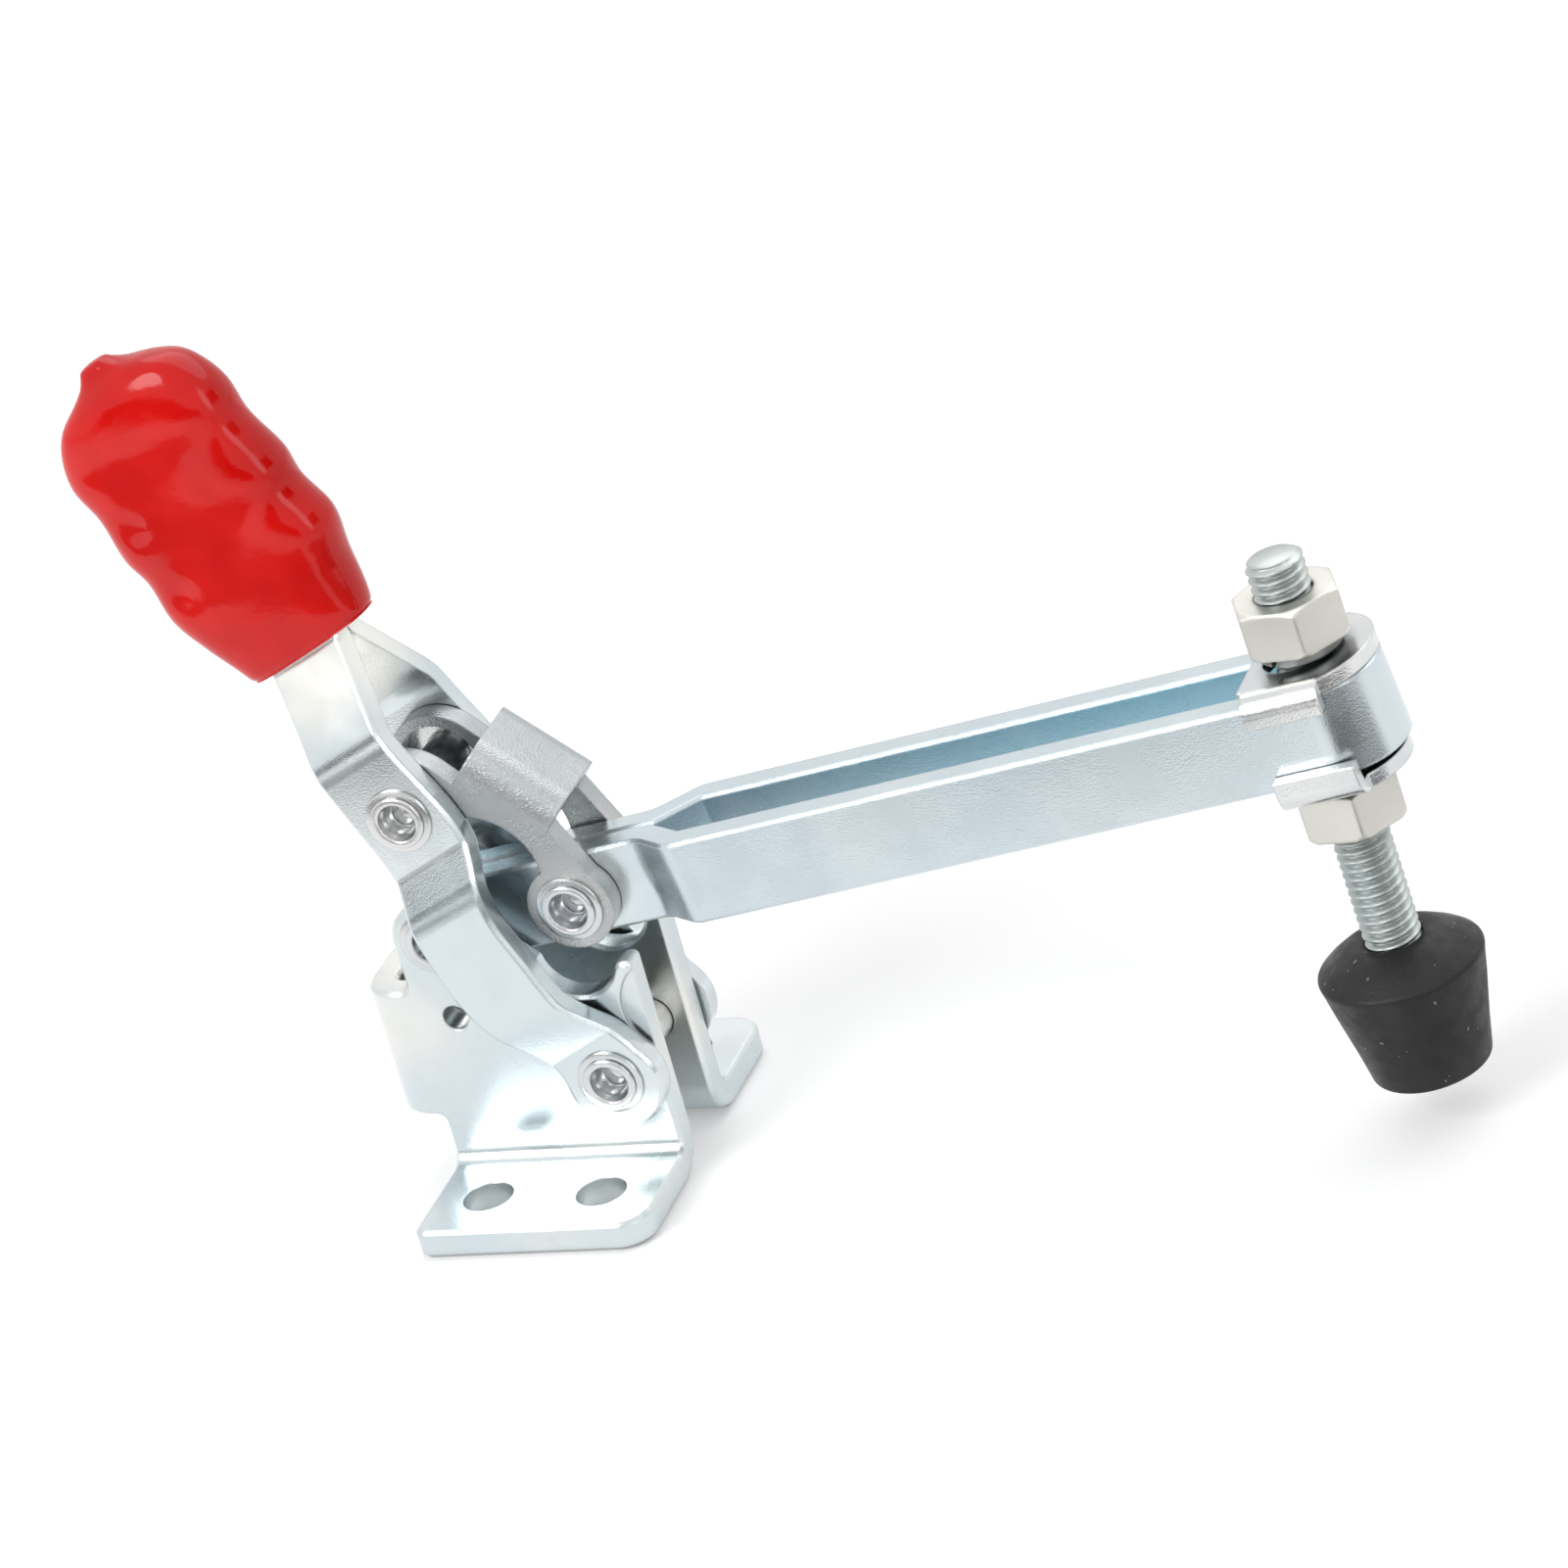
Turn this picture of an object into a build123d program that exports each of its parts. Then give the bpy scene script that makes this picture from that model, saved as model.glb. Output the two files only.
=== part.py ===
from build123d import *
import os
from math import atan2, cos, degrees, radians, sin, tan

# Toggle clamp, vertical handle, hairpin arm with an M6 rubber-tipped spindle.
# Frame: x toward the spindle, y away from the rolled rivet ends, z up, origin in the
# middle of the four base bolt holes on the bottom face. Millimetres and degrees.
os.makedirs("parts", exist_ok=True)

# ---- stock and fits ----
sheet = 3.2            # base and arm strip
plate = 2.5            # handle plates and link
tab_sheet = 1.5        # flanged washers
slide_gap = 0.1        # between flat faces that slide on each other
sweep_gap = 1.5        # between the base and the widest part of the handle, past rivet D
pin_fit = 0.08         # radial running fit of a rivet in its hole

# ---- pivots in the side view (x, z) ----
pivot_c = (8.8, 13.55)     # handle on base
pivot_d = (-8.0, 29.8)     # arm on base
arm_lever = 16.5           # D to B along the arm
handle_lever = 35.3        # C to A along the handle
arm_tilt = 9.2
handle_tilt = 115.4

# ---- rivets ----
rivet_r = 2.5
slim_r = 2.4               # rivet A, handle to link
bore_r = 1.75
mouth_r = 2.1
bore_deep = 3.6
lip_r = 2.9
lip_tall = 0.45
ring_r = 3.6
ring_tall = 0.35
low_lip_tall = 0.3         # rivet D, flatter where the handle sweeps past it
low_ring_tall = 0.15
head_r = 3.5
head_bevel = 0.6           # share of the head's height
link_slack = 2.05          # open room of rivet A in the link ears

# ---- base ----
half_gap = 3.4             # inside half width between the side plates
bend_in = 1.6
base_front = 13.4
base_rear = 12.9
flange_half = 20.6
bolt_dx = 13.0
bolt_dy = 28.0
bolt_r = 2.75
front_corner = 3.5
rear_corner = 1.5
edge_break = 0.4
web_back = 18.6
web_low = 8.9
web_high = 24.0
web_corner = 4.5
notch_r = 1.1
ear_d = 4.6
shoulder = (2.8, 24.6)
shoulder_r = 1.0
shoulder_round = 0.8
horn_z = 26.0
horn_r = 1.3
horn_front_r = 0.6
saddle_at = (7.0, 26.9)
saddle_r = 4.6
tool_hole = (-8.0, 20.7)
tool_hole_r = 1.45
coin_at = (16.8, 20.5)
coin_r = 5.8
coin_deep = 0.4

# ---- handle, along s from C to A and across t toward the front ----
eye_r = 5.3
eye_crown = 0.6            # the eye's end beyond its radius
joggle_in = (5.0, 10.3)    # s where the plates leave the base and reach full width
joggle_out = (24.5, 29.2)  # s where they come back in to the link
joggle_grip = (43.0, 53.0) # s where they close together
tang_end = 84.0
tang_rear = -4.8
tang_front = 4.6
tang_touch = 0.05          # half gap between the two plates in the grip
plate_bend = 3.6
plate_break = 0.4
grip_mouth = 54.0
dip_gap = 0.05

# ---- link, along l from A to B and across n upward ----
link_ear_a = 5.7
link_ear_b = 4.7
link_top = 10.3
link_bend = 3.1
link_rear = 2.7
link_front = 13.5
link_step = 6.9
link_relief_at = (9.8, -3.0)
link_relief = 7.2

# ---- arm, along u from D and across w upward ----
arm_high = 9.5
arm_half = 6.6
neck_end = 25.2
bar_start = 29.7
neck_bend = 3.0
slot_room = 1.25           # slot end centre ahead of the spindle axis, so that the spindle slides free
spindle_u = 99.6
spindle_lean = 4.8         # loose spindle, top forward of square to the bar
arm_break = 0.35

# ---- adjuster on the spindle axis ----
thread_r = 2.95
nut_flat = 10.0
nut_high = 5.0
thread_fit = 0.06          # radial running fit of the nuts on the spindle
nut_turn = 22.6            # one corner, from the near side toward the front
lean_gap = 0.12            # between the leaning spindle and what it passes through
tongue_r = 7.8
low_tongue_r = 7.1
washer_rear = 5.0
tab_front = 3.5
tab_rear = 4.5
tab_low = 4.3
tab_depth = 3.2            # upper tabs, from the top of the washer
low_tab_depth = 3.8
tab_bend = 2.2
seat_gap = 0.05
low_play = 0.5
lock_r = 4.9
lock_in = 3.1
lock_high = 1.3
lock_split = 0.7
spindle_top = 17.0
spindle_low = 37.0
tip_top = 25.8
tip_rim = 28.3
tip_bottom = 40.7
tip_rim_r = 8.55
tip_end_r = 6.0
tip_top_r = 4.6
tip_lip = 1.2

# ---- derived ----
base_half = half_gap + sheet
neck_half = half_gap - slide_gap
link_half = half_gap + plate
hold_in = link_half + slide_gap
eye_in = base_half + slide_gap
wide_in = base_half + sweep_gap

ca = cos(radians(arm_tilt))
sa = sin(radians(arm_tilt))
ch = cos(radians(handle_tilt))
sh = sin(radians(handle_tilt))
pivot_b = (pivot_d[0] + arm_lever * ca, pivot_d[1] + arm_lever * sa)
pivot_a = (pivot_c[0] + handle_lever * ch, pivot_c[1] + handle_lever * sh)
link_tilt = degrees(atan2(pivot_b[1] - pivot_a[1], pivot_b[0] - pivot_a[0]))
cl = cos(radians(link_tilt))
sl = sin(radians(link_tilt))
link_long = (pivot_b[0] - pivot_a[0]) * cl + (pivot_b[1] - pivot_a[1]) * sl

at_a = (pivot_a[0], 0, pivot_a[1])
at_b = (pivot_b[0], 0, pivot_b[1])
at_c = (pivot_c[0], 0, pivot_c[1])
at_d = (pivot_d[0], 0, pivot_d[1])
arm_side = Plane(origin=at_d, x_dir=(ca, 0, sa), z_dir=(0, -1, 0))
arm_plan = Plane(origin=at_d, x_dir=(ca, 0, sa), z_dir=(-sa, 0, ca))
arm_cross = Plane(origin=at_d, x_dir=(0, 1, 0), z_dir=(ca, 0, sa))
link_side = Plane(origin=at_a, x_dir=(cl, 0, sl), z_dir=(0, -1, 0))
link_cross = Plane(origin=at_a, x_dir=(0, 1, 0), z_dir=(cl, 0, sl))
handle_side = Plane(origin=at_c, x_dir=(ch, 0, sh), z_dir=(0, 1, 0))
handle_near = Plane(origin=at_c, x_dir=(ch, 0, sh), z_dir=(sh, 0, -ch))
handle_far = Plane(origin=at_c, x_dir=(ch, 0, sh), z_dir=(-sh, 0, ch))
handle_cross = Plane(origin=at_c, x_dir=(sh, 0, -ch), z_dir=(ch, 0, sh))
spindle_at = arm_plan.from_local_coords(Vector(spindle_u, 0, 0))
washer_plan = Plane(origin=spindle_at, x_dir=(ca, 0, sa), z_dir=(-sa, 0, ca))
washer_cross = Plane(origin=spindle_at, x_dir=(0, 1, 0), z_dir=(ca, 0, sa))
cs = cos(radians(arm_tilt - spindle_lean))
ss = sin(radians(arm_tilt - spindle_lean))
spindle_plan = Plane(origin=spindle_at, x_dir=(cs, 0, ss), z_dir=(-ss, 0, cs))
spindle_side = Plane(origin=spindle_at, x_dir=(cs, 0, ss), z_dir=(0, -1, 0))


def rim_of(faces):
    """Edges that border exactly one of the faces, without whole circles."""
    edges = faces.edges()
    once = [edge for edge in edges if sum(edge.is_same(other) for other in edges) == 1]
    return ShapeList(once).filter_by(lambda edge: not edge.is_closed)


def near_to(value, target):
    return abs(value - target) < 0.01


# ---- base: one stamping, two flanges, two side plates and the web behind ----
bend_out = bend_in + sheet
bend_at = (half_gap + bend_out, bend_out)
side_start = web_back - web_corner
with BuildPart() as base:
    with BuildSketch(Plane.YZ.offset(-side_start)) as channel:
        with BuildLine():
            Line((half_gap, horn_z + ear_d * 2), (half_gap, bend_out))
            CenterArc(bend_at, bend_out, 180, 90)
            Line((bend_at[0], 0), (flange_half, 0))
            Line((flange_half, 0), (flange_half, sheet))
            Line((flange_half, sheet), (bend_at[0], sheet))
            CenterArc(bend_at, bend_in, 270, -90)
            Line((base_half, bend_out), (base_half, horn_z + ear_d * 2))
            Line((base_half, horn_z + ear_d * 2), (half_gap, horn_z + ear_d * 2))
        make_face()
        mirror(about=Plane.YZ)
    extrude(amount=side_start + base_front)
    with BuildSketch(Plane.XY.offset(web_low)) as web:
        with Locations((-web_back, 0)):
            Rectangle(web_corner + sheet, 2 * base_half, align=(Align.MIN, Align.CENTER))
        fillet(web.vertices().group_by(Axis.X)[0], web_corner)
        with Locations((sheet - web_back, 0)):
            RectangleRounded(2 * web_corner, 2 * half_gap, web_corner - sheet,
                             align=(Align.MIN, Align.CENTER), mode=Mode.SUBTRACT)
    extrude(amount=web_high - web_low)
    with BuildSketch(Plane.XZ) as profile:
        with Locations(pivot_d):
            Circle(ear_d)
        with Locations(shoulder):
            Circle(shoulder_r)
        make_hull()
        Polygon((-base_rear, 0), (base_front, 0), (base_front, horn_z), (saddle_at[0], horn_z),
                shoulder, pivot_d, (pivot_d[0] - ear_d, pivot_d[1]), (pivot_d[0] - ear_d, web_high),
                (-web_back - sheet, web_high), (-web_back - sheet, web_low),
                (-base_rear, web_low), align=None)
        corners = profile.vertices().filter_by(lambda v: near_to(v.Y, web_low) or near_to(v.Y, web_high))
        fillet(corners.filter_by(lambda v: v.X > -side_start), notch_r)
        with Locations(saddle_at):
            Circle(saddle_r, mode=Mode.SUBTRACT)
        notch_rims = profile.vertices().filter_by(lambda v: v.Y > saddle_at[1] - saddle_r)
        notch_rims = notch_rims.filter_by(lambda v: abs(v.X - saddle_at[0]) < saddle_r + 0.1)
        fillet(notch_rims.sort_by(Axis.X)[0], shoulder_round)
        horn_rear = profile.vertices().filter_by(lambda v: near_to(v.Y, horn_z) and v.X > saddle_at[0])
        fillet(horn_rear.sort_by(Axis.X)[0], horn_r)
        horn_tip = profile.vertices().filter_by(lambda v: near_to(v.Y, horn_z) and v.X > saddle_at[0])
        fillet(horn_tip.sort_by(Axis.X)[-1], horn_front_r)
    extrude(amount=flange_half + sheet, both=True, mode=Mode.INTERSECT)
    with BuildSketch(Plane.XZ) as side_holes:
        with Locations(pivot_c):
            Circle(rivet_r + pin_fit)
        with Locations(pivot_d):
            Circle(rivet_r)
        with Locations(tool_hole):
            Circle(tool_hole_r)
    extrude(amount=base_half + sheet, both=True, mode=Mode.SUBTRACT)
    with BuildSketch(Plane.XY) as bolt_holes:
        with GridLocations(bolt_dx, bolt_dy, 2, 2):
            Circle(bolt_r)
    extrude(amount=sheet, mode=Mode.SUBTRACT)
    upright = base.edges().filter_by(Axis.Z).filter_by(lambda e: near_to(abs(e.center().Y), flange_half))
    fillet(upright.group_by(Axis.X)[-1], front_corner)
    upright = base.edges().filter_by(Axis.Z).filter_by(lambda e: near_to(abs(e.center().Y), flange_half))
    fillet(upright.group_by(Axis.X)[0], rear_corner)
    flange_top = base.faces().filter_by(Axis.Z).filter_by(lambda f: near_to(f.center().Z, sheet))
    plate_out = base.faces().filter_by(Axis.Y).filter_by(lambda f: near_to(abs(f.center().Y), base_half))
    web_out = base.faces().filter_by(lambda f: near_to(f.bounding_box().min.X, -web_back))
    bends = base.faces().filter_by(GeomType.CYLINDER)
    bends = bends.filter_by(lambda f: near_to(f.bounding_box().min.Z, sheet))
    chamfer(rim_of(flange_top + plate_out + web_out + bends), edge_break)
    for coin_side, coin_dir in ((base_half, -1), (-base_half, 1)):
        with BuildSketch(Plane.XZ.offset(coin_side)):
            with Locations(coin_at):
                Circle(coin_r)
        extrude(amount=coin_dir * coin_deep, mode=Mode.SUBTRACT)
base.part.label = "base"
export_step(base.part, "parts/base.step")

# ---- handle: two mirrored plates, wide over the base, closing together in the grip ----
plate_path = [(-eye_r - plate, eye_in), (joggle_in[0], eye_in), (joggle_in[1], wide_in),
            (joggle_out[0], wide_in), (joggle_out[1], hold_in), (joggle_grip[0], hold_in),
            (joggle_grip[1], tang_touch), (tang_end + plate, tang_touch)]
rear_edge = [(1.4, -5.1), (5.0, -5.0), (10.8, -7.3), (14.5, -8.0), (18.7, -7.8), (24.1, -7.0),
             (30.0, -5.6), (36.8, -5.3), (45.7, -5.1), (grip_mouth - 0.5, -5.3)]
front_edge = [(1.4, 4.9), (5.2, 3.8), (9.7, 2.0), (15.5, 1.9), (21.8, 2.2), (28.8, 4.4),
              (33.5, 5.0), (40.0, 4.6), (46.0, 4.5), (grip_mouth - 0.5, 4.5)]
tang = [rear_edge[-1], (tang_end, tang_rear), (tang_end, tang_front), front_edge[-1]]
with BuildPart() as handle_plate_near:
    with BuildSketch(handle_near) as strip_near:
        with BuildLine():
            FilletPolyline(*plate_path, radius=plate_bend)
            offset(amount=plate, side=Side.LEFT)
        make_face()
    extrude(amount=3 * eye_r, both=True)
    with BuildSketch(handle_side) as cut_near:
        with BuildLine():
            ThreePointArc(rear_edge[0], (-eye_r - eye_crown, 0), front_edge[0])
            Spline(*rear_edge)
            Spline(*front_edge)
            Polyline(*tang)
        make_face()
    extrude(amount=wide_in + 2 * plate, both=True, mode=Mode.INTERSECT)
    with BuildSketch(handle_side) as pins_near:
        Circle(rivet_r)
        with Locations((handle_lever, 0)):
            Circle(slim_r)
    extrude(amount=wide_in + 2 * plate, both=True, mode=Mode.SUBTRACT)
    plate_out = handle_plate_near.faces().filter_by(lambda f: f.normal_at().Y < -0.8)
    visible = rim_of(plate_out).filter_by(lambda e: e.center().Z < grip_mouth)
    chamfer(visible, plate_break)
handle_plate_near.part.label = "handle_plate_near"
export_step(handle_plate_near.part, "parts/handle_plate_near.step")

with BuildPart() as handle_plate_far:
    add(handle_plate_near.part.mirror(Plane.XZ))
handle_plate_far.part.label = "handle_plate_far"
export_step(handle_plate_far.part, "parts/handle_plate_far.step")

# ---- grip: dipped vinyl sleeve over the closed plates ----
# each row: s, rear edge, front edge, thickness
grip_rows = [(54.0, -8.3, 8.4, 8.4), (56.5, -8.9, 9.3, 9.0), (60.0, -10.0, 10.3, 9.8),
             (64.3, -11.0, 11.9, 10.4), (69.0, -10.3, 11.4, 10.0), (72.3, -10.7, 11.9, 10.2),
             (77.3, -9.9, 11.3, 9.8), (81.3, -10.1, 11.8, 9.8), (84.5, -8.8, 11.1, 8.8),
             (86.8, -6.6, 9.6, 7.4), (88.6, -3.3, 6.6, 5.4), (90.2, -0.9, 3.3, 3.0)]
with BuildPart() as grip:
    for row_s, row_rear, row_front, row_thick in grip_rows:
        with BuildSketch(handle_cross.offset(row_s)):
            with Locations(((row_front + row_rear) / 2, 0)):
                Ellipse((row_front - row_rear) / 2, row_thick / 2)
    loft()
    with BuildSketch(handle_side) as pocket:
        Polygon(*tang, align=None)
        offset(amount=dip_gap, kind=Kind.INTERSECTION)
    extrude(amount=tang_touch + plate + dip_gap, both=True, mode=Mode.SUBTRACT)
grip.part.label = "grip"
export_step(grip.part, "parts/grip.step")

# ---- link: saddle over the arm neck, between handle and arm ----
with BuildPart() as link:
    with BuildSketch(link_cross.offset(-2 * link_ear_a)) as saddle:
        with Locations((0, link_top)):
            Rectangle(2 * link_half, link_top + 2 * link_ear_a, align=(Align.CENTER, Align.MAX))
        fillet(saddle.vertices().group_by(Axis.Y)[-1], link_bend)
        with Locations((0, link_top - plate)):
            RectangleRounded(2 * half_gap, 2 * (link_top + 2 * link_ear_a), link_bend - plate,
                             align=(Align.CENTER, Align.MAX), mode=Mode.SUBTRACT)
    extrude(amount=link_long + 4 * link_ear_a)
    with BuildSketch(link_side) as link_cut:
        Circle(link_ear_a)
        with Locations((link_long, 0)):
            Circle(link_ear_b)
        make_hull()
        Polygon((link_rear, 0), (link_rear, link_top), (link_front, link_top), (link_front, link_step),
                (link_long, link_ear_b), (link_long, 0), align=None)
        with Locations(link_relief_at):
            Circle(link_relief, mode=Mode.SUBTRACT)
        with Locations((link_long / 2, 0)):
            Rectangle(link_long, 2 * link_ear_a, align=(Align.CENTER, Align.MAX), mode=Mode.SUBTRACT)
        Circle(link_ear_a)
        with Locations((link_long, 0)):
            Circle(link_ear_b)
    extrude(amount=link_half + plate, both=True, mode=Mode.INTERSECT)
    with BuildSketch(link_side) as link_holes:
        Circle(slim_r + link_slack)
        with Locations((link_long, 0)):
            Circle(rivet_r)
    extrude(amount=link_half + plate, both=True, mode=Mode.SUBTRACT)
link.part.label = "link"
export_step(link.part, "parts/link.step")

# ---- arm: one strip folded back on itself, necked where it enters the base ----
skew = tan(atan2(arm_half - neck_half, bar_start - neck_end) / 2) * sheet
arm_rear = arm_high / 2 + sheet
arm_in = arm_half - sheet
slit = neck_half - sheet
slot_end = spindle_u + slot_room
with BuildPart() as arm:
    with BuildSketch(arm_plan.offset(-arm_high / 2)) as strip:
        with BuildLine():
            Polyline((slot_end, arm_half), (bar_start, arm_half), (neck_end, neck_half),
                     (-arm_rear, neck_half), (-arm_rear, -neck_half), (neck_end, -neck_half),
                     (bar_start, -arm_half), (slot_end, -arm_half))
            CenterArc((slot_end, 0), arm_half, -90, 180)
        make_face()
        turns = strip.vertices().filter_by(lambda v: neck_end - 0.1 < v.X < bar_start + 0.1)
        fillet(turns, neck_bend)
        with BuildLine():
            Polyline((slot_end, arm_in), (bar_start + skew, arm_in), (neck_end + skew, slit),
                     (-arm_rear - sheet, slit), (-arm_rear - sheet, -slit), (neck_end + skew, -slit),
                     (bar_start + skew, -arm_in), (slot_end, -arm_in))
            CenterArc((slot_end, 0), arm_in, -90, 180)
        make_face(mode=Mode.SUBTRACT)
    extrude(amount=arm_high)
    with BuildSketch(arm_side) as arm_cut:
        Circle(arm_high / 2)
        with Locations((0, 0)):
            Rectangle(slot_end + 2 * arm_half, arm_high, align=(Align.MIN, Align.CENTER))
    extrude(amount=arm_half + sheet, both=True, mode=Mode.INTERSECT)
    with BuildSketch(arm_side) as arm_holes:
        Circle(rivet_r + pin_fit)
        with Locations((arm_lever, 0)):
            Circle(rivet_r + pin_fit)
    extrude(amount=arm_half + sheet, both=True, mode=Mode.SUBTRACT)
    rims = arm.faces().filter_by(lambda f: abs(f.normal_at().dot(arm_plan.z_dir)) > 0.99)
    chamfer(rims.edges(), arm_break)
arm.part.label = "arm"
export_step(arm.part, "parts/arm.step")

# ---- flanged washers: a rounded tongue and two tabs astride the bar ----
tab_half = arm_half + slide_gap + tab_sheet
top_seat = arm_high / 2 + seat_gap
low_seat = arm_high / 2 + low_play
lean_sin = sin(radians(spindle_lean))
lean_cos = cos(radians(spindle_lean))
washer_bore = (thread_r + (low_seat + tab_sheet) * lean_sin) / lean_cos + lean_gap
with BuildPart() as upper_flange_washer:
    with BuildSketch(washer_cross.offset(-tab_rear)) as fold_down:
        with Locations((0, top_seat + tab_sheet)):
            Rectangle(2 * tab_half, tab_depth, align=(Align.CENTER, Align.MAX))
        fillet(fold_down.vertices().group_by(Axis.Y)[-1], tab_bend)
        with Locations((0, top_seat)):
            Rectangle(2 * (tab_half - tab_sheet), tab_depth, align=(Align.CENTER, Align.MAX),
                      mode=Mode.SUBTRACT)
    extrude(amount=tab_front + tab_rear)
    with BuildSketch(washer_plan.offset(top_seat)):
        Circle(tongue_r)
        with Locations((tab_front, 0)):
            Rectangle(2 * tongue_r, 2 * tongue_r, align=(Align.MAX, Align.CENTER), mode=Mode.SUBTRACT)
        with Locations((-washer_rear, 0)):
            Rectangle(washer_rear + tab_front, 2 * (tab_half - tab_bend),
                      align=(Align.MIN, Align.CENTER))
    extrude(amount=tab_sheet)
    with BuildSketch(washer_plan.offset(top_seat)):
        Circle(washer_bore)
    extrude(amount=tab_sheet, mode=Mode.SUBTRACT)
upper_flange_washer.part.label = "upper_flange_washer"
export_step(upper_flange_washer.part, "parts/upper_flange_washer.step")

with BuildPart() as lower_flange_washer:
    with BuildSketch(washer_cross.offset(-tab_low)) as fold_up:
        with Locations((0, -low_seat - tab_sheet)):
            Rectangle(2 * tab_half, low_tab_depth, align=(Align.CENTER, Align.MIN))
        fillet(fold_up.vertices().group_by(Axis.Y)[0], tab_bend)
        with Locations((0, -low_seat)):
            Rectangle(2 * (tab_half - tab_sheet), low_tab_depth, align=(Align.CENTER, Align.MIN),
                      mode=Mode.SUBTRACT)
    extrude(amount=2 * tab_low)
    with BuildSketch(washer_plan.offset(-low_seat - tab_sheet)):
        Circle(low_tongue_r)
        with Locations((tab_low, 0)):
            Rectangle(2 * low_tongue_r, 2 * low_tongue_r, align=(Align.MAX, Align.CENTER), mode=Mode.SUBTRACT)
        with Locations((-washer_rear, 0)):
            Rectangle(washer_rear + tab_low, 2 * (tab_half - tab_bend),
                      align=(Align.MIN, Align.CENTER))
    extrude(amount=tab_sheet)
    with BuildSketch(washer_plan.offset(-low_seat - tab_sheet)):
        Circle(washer_bore)
    extrude(amount=tab_sheet, mode=Mode.SUBTRACT)
lower_flange_washer.part.label = "lower_flange_washer"
export_step(lower_flange_washer.part, "parts/lower_flange_washer.step")

# ---- spindle hardware ----
lock_seat = (top_seat + tab_sheet + lock_r * lean_sin) / lean_cos + seat_gap
with BuildPart() as lock_washer:
    with BuildSketch(spindle_plan.offset(lock_seat)):
        Circle(lock_r)
        Circle(lock_in, mode=Mode.SUBTRACT)
        with Locations(((lock_r + lock_in) / 2, -lock_split)):
            Rectangle(lock_r, lock_split, rotation=-arm_tilt, mode=Mode.SUBTRACT)
    extrude(amount=lock_high)
lock_washer.part.label = "lock_washer"
export_step(lock_washer.part, "parts/lock_washer.step")

nut_corner = nut_flat / 2 / cos(radians(30))
nut_bevel = nut_corner - nut_flat / 2
nut_seat = lock_seat + lock_high
with BuildPart() as upper_nut:
    with BuildSketch(spindle_plan.offset(nut_seat)):
        RegularPolygon(nut_corner, 6, rotation=nut_turn - 90)
        Circle(thread_r + thread_fit, mode=Mode.SUBTRACT)
    extrude(amount=nut_high)
    with BuildSketch(spindle_side) as nut_turned:
        with Locations((0, nut_seat + nut_high / 2)):
            Rectangle(2 * nut_corner, nut_high)
        chamfer(nut_turned.vertices(), length=nut_bevel / 2, length2=nut_bevel)
        with Locations((0, nut_seat + nut_high / 2)):
            Rectangle(nut_corner, nut_high, align=(Align.MAX, Align.CENTER), mode=Mode.SUBTRACT)
    revolve(axis=Axis(spindle_at, spindle_plan.z_dir), mode=Mode.INTERSECT)
upper_nut.part.label = "upper_nut"
export_step(upper_nut.part, "parts/upper_nut.step")

low_nut_seat = (low_seat + tab_sheet + nut_corner * lean_sin) / lean_cos
with BuildPart() as lower_nut:
    with BuildSketch(spindle_plan.offset(-low_nut_seat - nut_high)):
        RegularPolygon(nut_corner, 6, rotation=nut_turn - 90)
        Circle(thread_r + thread_fit, mode=Mode.SUBTRACT)
    extrude(amount=nut_high)
    with BuildSketch(spindle_side) as low_nut_turned:
        with Locations((0, -low_nut_seat - nut_high / 2)):
            Rectangle(2 * nut_corner, nut_high)
        chamfer(low_nut_turned.vertices(), length=nut_bevel / 2, length2=nut_bevel)
        with Locations((0, -low_nut_seat - nut_high / 2)):
            Rectangle(nut_corner, nut_high, align=(Align.MAX, Align.CENTER), mode=Mode.SUBTRACT)
    revolve(axis=Axis(spindle_at, spindle_plan.z_dir), mode=Mode.INTERSECT)
lower_nut.part.label = "lower_nut"
export_step(lower_nut.part, "parts/lower_nut.step")

with BuildPart() as spindle:
    with BuildSketch(spindle_plan.offset(-spindle_low)):
        Circle(thread_r)
    extrude(amount=spindle_low + spindle_top)
    chamfer(spindle.edges().filter_by(GeomType.CIRCLE), thread_r / 5)
spindle.part.label = "spindle"
export_step(spindle.part, "parts/spindle.step")

with BuildPart() as rubber_tip:
    with BuildSketch(spindle_side) as cone:
        Polygon((0, -tip_top), (tip_top_r, -tip_top), (tip_rim_r, -tip_rim),
                (tip_rim_r, -tip_rim - tip_lip), (tip_end_r, -tip_bottom), (0, -tip_bottom), align=None)
        with Locations((0, -spindle_low)):
            Rectangle(thread_r, spindle_low, align=(Align.MIN, Align.MIN), mode=Mode.SUBTRACT)
    revolve(axis=Axis(spindle_at, spindle_plan.z_dir))
    with BuildSketch(spindle_plan.offset(-spindle_low)) as foot:
        Circle(thread_r)
    extrude(amount=spindle_low, mode=Mode.SUBTRACT)
rubber_tip.part.label = "rubber_tip"
export_step(rubber_tip.part, "parts/rubber_tip.step")

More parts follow.
